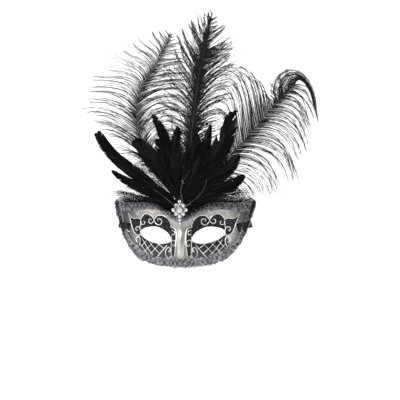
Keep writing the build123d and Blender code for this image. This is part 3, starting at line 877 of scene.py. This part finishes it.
def vane_barb(bag, start, ahead, across, reach, angle, rise, slot):
    """A flat barb of a vane, from the rachis out."""
    out = ahead * math.cos(angle) + across * math.sin(angle)
    line = []
    for k in range(4):
        t = k / 3
        line.append(start + out * (reach * t) + ahead * (0.10 * reach * t * t) + Vector((0, rise * t, 0)))
    bag.tube(line, lambda s: 0.62 * (1 - 0.75 * s ** 2), sides=4, flat=0.14, slot=slot)


def coque(bag, tip_x, tip_z, half, bow, depth, blunt, rng):
    """A short feather with a closed vane that splits here and there."""
    tip = Vector((tip_x, depth, tip_z))
    span = tip - FAN
    sideways = Vector((span.z, 0, -span.x)).normalized()
    middle = FAN + span * 0.5 + sideways * bow + Vector((0, -2.0, 0))
    line = smooth_points([FAN, FAN.lerp(middle, 0.5) + sideways * bow * 0.3, middle,
                          middle.lerp(tip, 0.55) + sideways * bow * 0.4, tip], 60)
    bag.tube(line[:-3], lambda s: lerp(0.75, 0.15, s), sides=6)
    count = int(length_of(line) / VANE_PITCH)
    for side in (1, -1):
        split, tilt, slot = 0, 0.0, 0
        for n in range(count):
            share = n / count
            if share < 0.1:
                continue
            if split == 0:
                split = rng.randint(9, 34)
                tilt = rng.gauss(0, 0.055)
                slot = rng.choice(BARB_MIX)
            split -= 1
            start, ahead = part_way(line, share)
            across = ahead.cross(Vector((0, -1, 0))).normalized() * side
            fill = min(1.0, 0.35 + 1.3 * share) * (1 - max(0, (share - 0.4) / 0.6) ** blunt) ** 0.8
            angle = lerp(0.72, 0.5, share) + tilt
            reach = (0.4 + half * fill) / math.sin(angle) * rng.uniform(0.92, 1.0)
            vane_barb(bag, start, ahead, across, reach, angle, 0.9 + rng.uniform(-0.1, 0.1), slot)


def make_coques():
    for number, plan in enumerate(COQUES, 1):
        bag = Bag()
        coque(bag, *plan, random.Random(40 + number))
        name = "coque_%02d" % number
        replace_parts(bag.piece(name, VANES, "coque_feather", smooth=False), "coque_feather_%02d" % number)


DOWN_FRONT_Y = -13.0       # down that stands further forward is pressed back
TOP_EDGE = [(0, 27), (13, 33), (24, 39), (36, 42), (60, 40.5), (90, 40)]    # the mask's top edge (x, z)
CROWN_TURN = 1.35          # radians from upright to the crown's outermost hairs


def scatter(rng, *spreads):
    return Vector([rng.gauss(0, spread) for spread in spreads])


def fibre(bag, start, direction, length, bend, rng, radius):
    """One hair of down, bent this way."""
    line = [start]
    heading = direction.normalized()
    steps = 6
    for k in range(steps):
        heading = (heading + bend * (0.9 / steps) + scatter(rng, 0.06, 0.06, 0.06)).normalized()
        line.append(line[-1] + heading * (length / steps))
    for p in line:
        p.y = p.y if p.y > DOWN_FRONT_Y else lerp(DOWN_FRONT_Y, p.y, 0.3)
    bag.tube(line, lambda s: lerp(radius, 0.05, s), slot=rng.choice(DOWN_MIX))


def brow_down(name, node, near, far, count, seed):
    """The down along one stretch of the top edge, combed outward from the brooch."""
    rng = random.Random(seed)
    bag = Bag()
    for n in range(count):
        x = lerp(near, far, rng.random() ** 1.6)
        side = 1 if x > 0 else -1
        cover = lerp(7.5, 1.5, min(1, abs(x) / 55))
        foot, normal = on_shell(x, along(TOP_EDGE, abs(x))[0] - rng.uniform(0.3, cover))
        start = foot + normal * rng.uniform(1.2, 4.5)
        away = min(1, abs(x) / 45)
        rise = rng.uniform(-0.35 + 0.75 * away, 1.2)
        direction = Vector((side * (0.3 + 0.5 * away), -0.25, rise)) + Vector((*scatter(rng, 0.4, 0.25), 0))
        bend = Vector((side * 0.3, rng.uniform(0, 0.5), rng.uniform(-0.4, 0.3)))
        fibre(bag, start, direction, rng.uniform(7, 21), bend, rng, 0.15)
    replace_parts(bag.piece(name, DOWN, "down", smooth=False), node)


def crown_down(name, node, count, seed):
    """The thick fluff round the foot of the spray, and the soft lower barbs of the short feathers."""
    rng = random.Random(seed)
    bag = Bag()
    for n in range(count):
        turn = max(-CROWN_TURN, min(CROWN_TURN, rng.gauss(0, 0.85)))
        heading = Vector((math.sin(turn), rng.gauss(-0.08, 0.10), math.cos(turn)))
        reach = rng.random() ** 0.8 * lerp(58, 74, abs(turn) / CROWN_TURN)
        start = Vector((0, rng.uniform(-4.5, 3), 36)) + heading * reach
        bend = Vector((heading.x * 0.4, rng.uniform(-0.3, 0.3), 0.1 - 0.4 * abs(heading.x)))
        spread = scatter(rng, 0.3, 0.15, 0.2)
        fibre(bag, start, heading + spread, rng.uniform(14, 34), bend, rng, 0.2)
    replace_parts(bag.piece(name, DOWN, "down", smooth=False), node)


def make_down():
    brow_down("left_down", "left_down_tuft", -4, -74, 1250, 61)
    brow_down("right_down", "right_down_tuft", 4, 76, 1250, 62)
    crown_down("centre_down", "centre_down_tuft", 3000, 63)


# Bare quills (x, y, z).
QUILLS = [
    [(-4, -9, 33), (-14, -12, 42), (-24, -13, 50), (-35, -12, 57)],
    [(6, -10, 34), (10, -12, 36.5), (14, -12.5, 38)],
    [(4, -10, 36), (1, -13, 52), (4, -14, 66), (12, -13, 80)],
    [(8, -10, 36), (22, -13, 46), (31, -14, 58), (34, -13, 70)],
]


def make_quills():
    """A few bare pale quills that show between the down."""
    bag = Bag()
    for points in QUILLS:
        line = smooth_points(points, 24)
        bag.tube(line, lambda s: lerp(0.26, 0.1, s), sides=6)
    bag.piece("pale_quills", [MAT["quill"]], "ostrich_feather")


BINDING_TURNS = 14


def make_binding():
    """The quills' foot, wound with thread."""
    bag = Bag()
    line = [UP * z for z in (31, 38, 45, 52)]
    bag.tube(line, lambda s: 4.8 + 1.6 * s, sides=24, flat=0.72)
    steps = 24 * BINDING_TURNS
    coil = [Vector((5.7 * c, 4.2 * s, 32 + 14 * k / steps)) for k, (c, s) in enumerate(around(steps, 24))]
    bag.tube(coil, 0.5, sides=6, facing=UP)
    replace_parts(bag.piece("wound_binding", [MAT["felt"]], "felt"), "quill_binding")


# ------------ ribbons

RIBBON_WIDTH = 9.0
RIBBON_THICK = 0.45
RIBBON_SLOPE = math.radians(16)
RIBBON_STEP = 1.1          # spacing of the points along it
SLOT = (71.4, 31.5, 7.6)
# The right ribbon's route in plan (x, y), from the tab inside the wing out through the slot and round the edge.
ROUTE_PLAN = [(61.4, 26.2), (68.7, 32.4), (74.9, 28.9), (78.9, 32.9), (82.8, 37.7), (86.9, 45.4), (87.0, 50.4),
              (82.6, 54.6), (76.0, 56.6)]
HANK_CENTRE = Vector((67.0, 46.2, 10.4))
HANK_AXIS = Vector((0.104, 0.107, 0.989))
HANK_DEPTH = Vector((0.0, 0.994, -0.108))
HANK_RUNS = 6
HANK_STATIONS = (-25.6, -17, -6.2, -1.8, 1.8, 6.2, 17, 25.6)    # along one run
# Across the ribbon: share of its half width, and half its thickness there as a share of the whole.
RIBBON_PROFILE = ((-1, 0.25), (-0.9, 0.72), (-0.82, 0.5), (-0.4, 0.5), (0, 0.5), (0.4, 0.5), (0.82, 0.5),
                  (0.9, 0.72), (1, 0.25))


def hank_route():
    """The put-away length: runs to and fro along the hank, pinched at the tie and fanned at the ends."""
    route = []
    for run in range(HANK_RUNS):
        layer = HANK_RUNS - 1 - run - 0.5 * (HANK_RUNS - 1)
        way = -1 if run % 2 == 0 else 1
        for s in HANK_STATIONS[2:] if run == 0 else HANK_STATIONS:
            fan = 1.1 if abs(s) < 3 else 3.8
            bulge = 0.35 * math.sin(0.37 * s + 1.7 * run)
            route.append(HANK_CENTRE + HANK_AXIS * (way * s) + HANK_DEPTH * (layer * fan + bulge))
    return route


def nurbs_line(name, route):
    """The smooth line of a NURBS spline with these control points."""
    curve = bpy.data.curves.new(name, "CURVE")
    curve.dimensions = "3D"
    spline = curve.splines.new("NURBS")
    spline.points.add(len(route) - 1)
    for point, co in zip(spline.points, route):
        point.co = (*co, 1)
    spline.order_u = 3
    spline.use_endpoint_u = True
    spline.resolution_u = 8
    ob = bpy.data.objects.new(name, curve)
    mesh = bpy.data.meshes.new_from_object(ob)
    line = [v.co.copy() for v in mesh.vertices]
    bpy.data.objects.remove(ob)
    bpy.data.curves.remove(curve)
    bpy.data.meshes.remove(mesh)
    return line


def ribbon_mesh(bag, line, width_way):
    """A flat ribbon with slightly thicker woven edges along a line."""
    rings = []
    across = width_way.normalized()
    half = RIBBON_WIDTH / 2
    for i, p in enumerate(line):
        ahead = ahead_at(line, i).normalized()
        across = (across - ahead * across.dot(ahead)).normalized()
        out = ahead.cross(across)
        top, low = [], []
        for s, thick in RIBBON_PROFILE:
            top.append(p + across * (half * s) + out * (RIBBON_THICK * thick))
            low.append(p + across * (half * s) - out * (RIBBON_THICK * thick))
        rings.append(top + list(reversed(low)))
    bag.loft(rings)


def make_ribbons():
    for sign, side in SIDES:
        route = [Vector((x, y, SLOT[2] + (x - SLOT[0]) * math.tan(RIBBON_SLOPE))) for x, y in ROUTE_PLAN]
        route += [Vector((70.2, 57.0, 7.0)), Vector((67.4, 56.4, 4.0))] + hank_route()[1:]
        route = [Vector((sign * p.x, p.y, p.z)) for p in route]
        line = nurbs_line(side + "_route", route)
        length = length_of(line)
        dense = even_points(line, int(length / RIBBON_STEP))
        bag = Bag()
        ribbon_mesh(bag, dense, Vector((-sign * math.sin(RIBBON_SLOPE), 0, math.cos(RIBBON_SLOPE))))
        tape = bag.piece(side + "_tie_ribbon", [MAT["ribbon"]], "ribbon")
        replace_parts(tape, side + "_ribbon", side + "_ribbon_hank")
        tie = hank_tie(sign, side)
        print("ribbon", side, "length mm", round(length, 1))


def hank_tie(sign, side):
    """Three turns of cord round the hank's waist."""
    bag = Bag()
    for turn in (-1, 0, 1):
        loop = []
        for c, s in around(33, 32):
            x = 5.4 * math.copysign(abs(c) ** 0.6, c)
            y = 3.9 * math.copysign(abs(s) ** 0.6, s)
            p = HANK_CENTRE + Vector((x, 0, -0.1 * x)) + HANK_DEPTH * y + HANK_AXIS * (1.1 * turn)
            loop.append(Vector((sign * p.x, p.y, p.z)))
        bag.tube(loop, 0.6, sides=8, facing=UP)
    tie = bag.piece(side + "_tie_cord", [MAT["ribbon"]], "ribbon")
    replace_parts(tie, side + "_hank_tie")
    return tie


# ------------ studio

VIEW_YAW = math.radians(5.7)
VIEW_DISTANCE = 2.0
VIEW_WIDTH = 0.508         # metres seen across, at the mask
VIEW_CENTRE = (0.024, 0.043)    # metres right of the origin and above it
SENSOR = 36.0


def make_camera():
    camera = bpy.data.cameras.new("camera")
    camera.sensor_width = SENSOR
    camera.lens = SENSOR * VIEW_DISTANCE / VIEW_WIDTH
    ob = add_object("camera", camera)
    right = Vector((math.cos(VIEW_YAW), math.sin(VIEW_YAW), 0))
    back = Vector((math.sin(VIEW_YAW), -math.cos(VIEW_YAW), 0))
    ob.location = right * VIEW_CENTRE[0] + UP * VIEW_CENTRE[1] + back * VIEW_DISTANCE
    ob.rotation_euler = (math.pi / 2, 0, VIEW_YAW)
    bpy.context.scene.camera = ob


# Each light: name, place, width and height in metres, watts, and what it is aimed at.
ON_MASK = Vector((0.02, 0, 0.08))
LIGHTS = [
    ("key", (-0.5, -1.45, 0.85), 0.7, 1.3, 27, ON_MASK),
    ("left", (-1.5, -0.7, 0.4), 0.7, 1.2, 9, ON_MASK),
    ("right", (1.5, -0.8, 0.35), 0.7, 1.2, 9, ON_MASK),
    ("backdrop", (0.0, 1.2, 2.4), 2.4, 1.6, 110, Vector((0, 3.0, 0.1))),
    ("back", (0.7, 1.7, 0.9), 0.8, 0.8, 9, ON_MASK),
]
WORLD_STRENGTH = 0.34
# The floor and backdrop's side view (y, z), and how far they reach to each side.
SWEEP = [(-1500, -420), (1400, -420), (2200, -400), (2700, -290), (2960, -60), (3080, 300), (3100, 900),
         (3100, 2600)]
SWEEP_HALF = 3600


def area_light(name, place, wide, tall, power, aim):
    light = bpy.data.lights.new(name, "AREA")
    light.shape = "RECTANGLE"
    light.size = wide
    light.size_y = tall
    light.energy = power
    ob = add_object(name, light)
    ob.location = place
    ob.rotation_euler = (aim - Vector(place)).to_track_quat("-Z", "Y").to_euler()


def make_stage():
    pale = Nodes("pale_stage").set(rough=0.9, spec=0.2)
    pale.vary("Base Color", 3, 2, (0.3, 0.90), (0.7, 0.93))
    line = smooth_points([(0, y, z) for y, z in SWEEP], 60)
    verts = [(x * MM, p.y * MM, p.z * MM) for x in (-SWEEP_HALF, SWEEP_HALF) for p in line]
    faces = [(i, i + 1, len(line) + i + 1, len(line) + i) for i in range(len(line) - 1)]
    mesh = bpy.data.meshes.new("studio_sweep")
    mesh.from_pydata(verts, [], faces)
    mesh.polygons.foreach_set("use_smooth", [True] * len(faces))
    mesh.materials.append(pale.mat)
    sweep = add_object("studio_sweep", mesh)


def make_lights():
    for light in LIGHTS:
        area_light(*light)
    world = bpy.data.worlds.new("studio")
    world.use_nodes = True
    sky = world.node_tree.nodes["Background"].inputs
    sky["Color"].default_value = (1, 1, 1, 1)
    sky["Strength"].default_value = WORLD_STRENGTH
    bpy.context.scene.world = world
    bpy.context.scene.view_settings.view_transform = "Standard"


# ------------ assembly


def main():
    make_camera()
    make_ribbons()
    dress("mask_shell", MAT["shell"])
    for _, side in SIDES:
        for name in ("brow", "leaf", "nose", "cheek"):
            dress(side + "_" + name + "_panel", MAT["enamel"])
    dress("felt_patch", MAT["felt"])
    make_filigree()
    make_braid()
    make_brooch()
    for name, plan in PLUMES.items():
        plume(name, plan)
    make_coques()
    make_down()
    make_quills()
    make_binding()
    make_stage()
    make_lights()


main()
bpy.context.view_layer.update()
